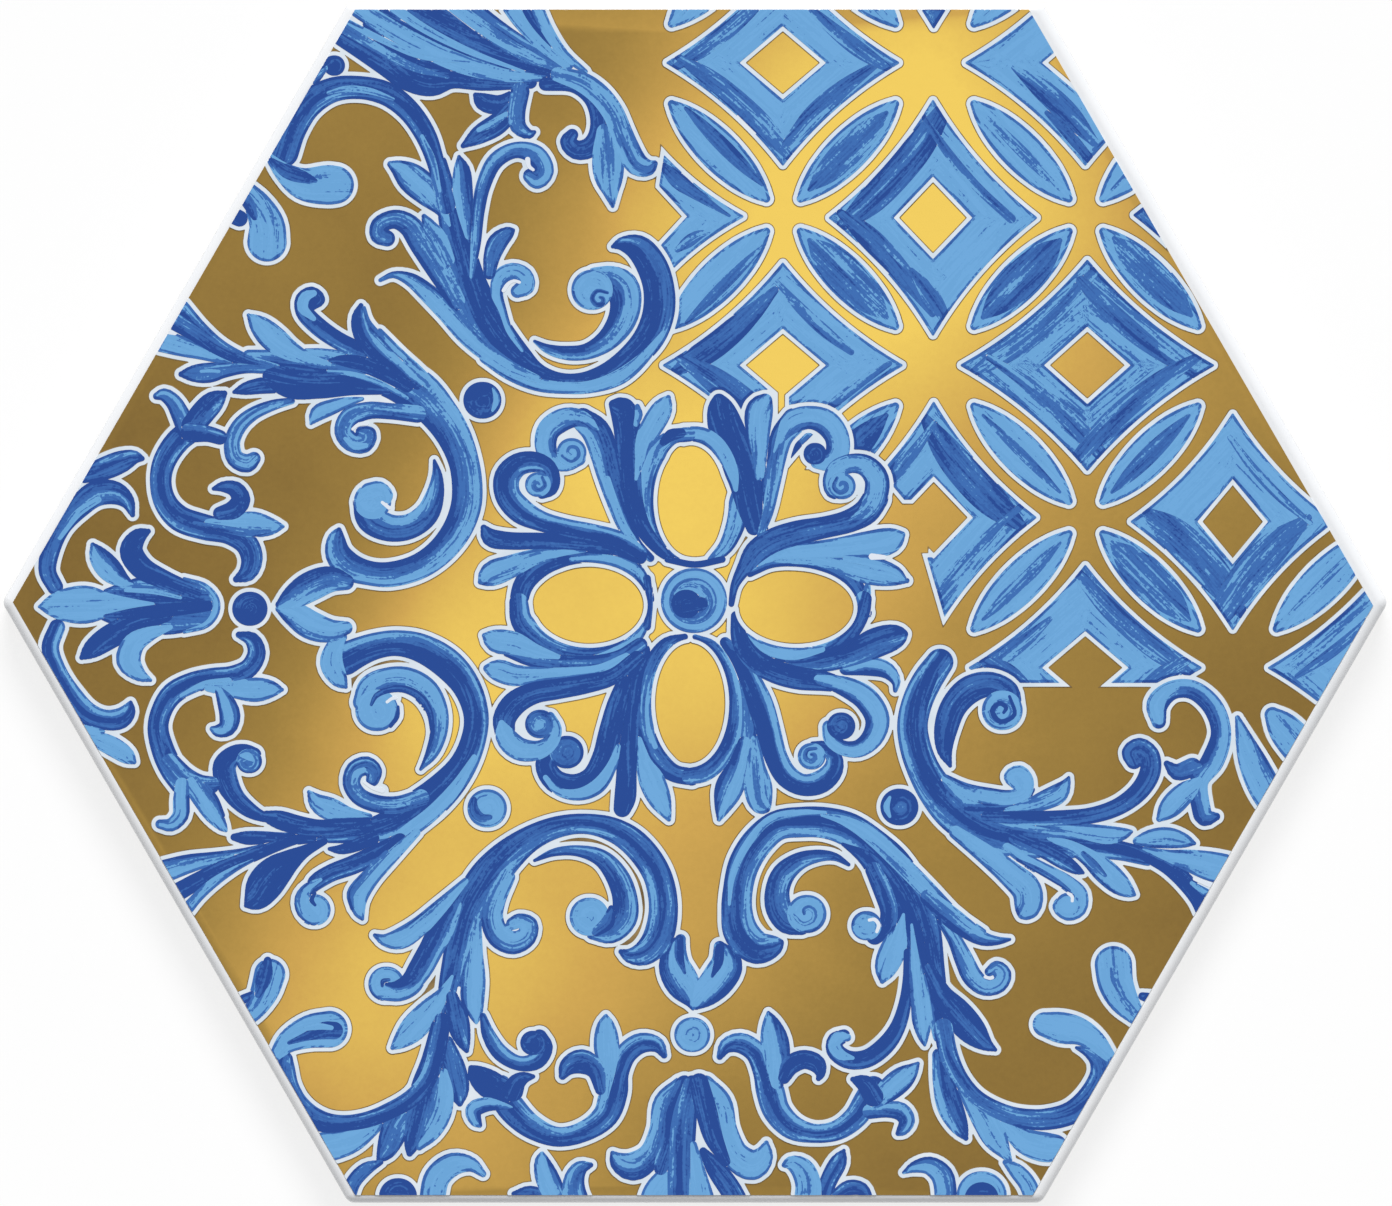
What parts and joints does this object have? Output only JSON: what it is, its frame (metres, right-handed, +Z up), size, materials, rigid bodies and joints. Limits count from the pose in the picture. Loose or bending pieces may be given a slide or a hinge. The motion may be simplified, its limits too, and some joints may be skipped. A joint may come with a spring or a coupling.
{
  "type": "hexagonal decor tile",
  "caption": "Hexagonal glazed ceramic tile with a cushioned face edge and a waffle back, its face decorated with blue scrollwork and a lattice on gold; bedded on walls or floors.",
  "frame": {"origin": "middle of the back, on the plane of the ribs it rests on", "axes": "+Z up out of the decorated face, +X to the right-hand corner and +Y to the upper flat side of the decoration as the picture shows it"},
  "size_m": [0.2016, 0.175, 0.009],
  "materials": {
    "white_glaze": "gloss white glaze on face, rim and sides, bare off-white fired body on the back",
    "gold_lustre": "fired gold lustre between the painted motifs, cloudy from bright gold to bronze",
    "white_enamel": "gloss white enamel outline round every motif",
    "blue_enamel": "gloss blue enamel in light, middle and dark brush strokes"
  },
  "bodies": {
    "root": {"tile": "white_glaze"}
  },
  "joints": []
}
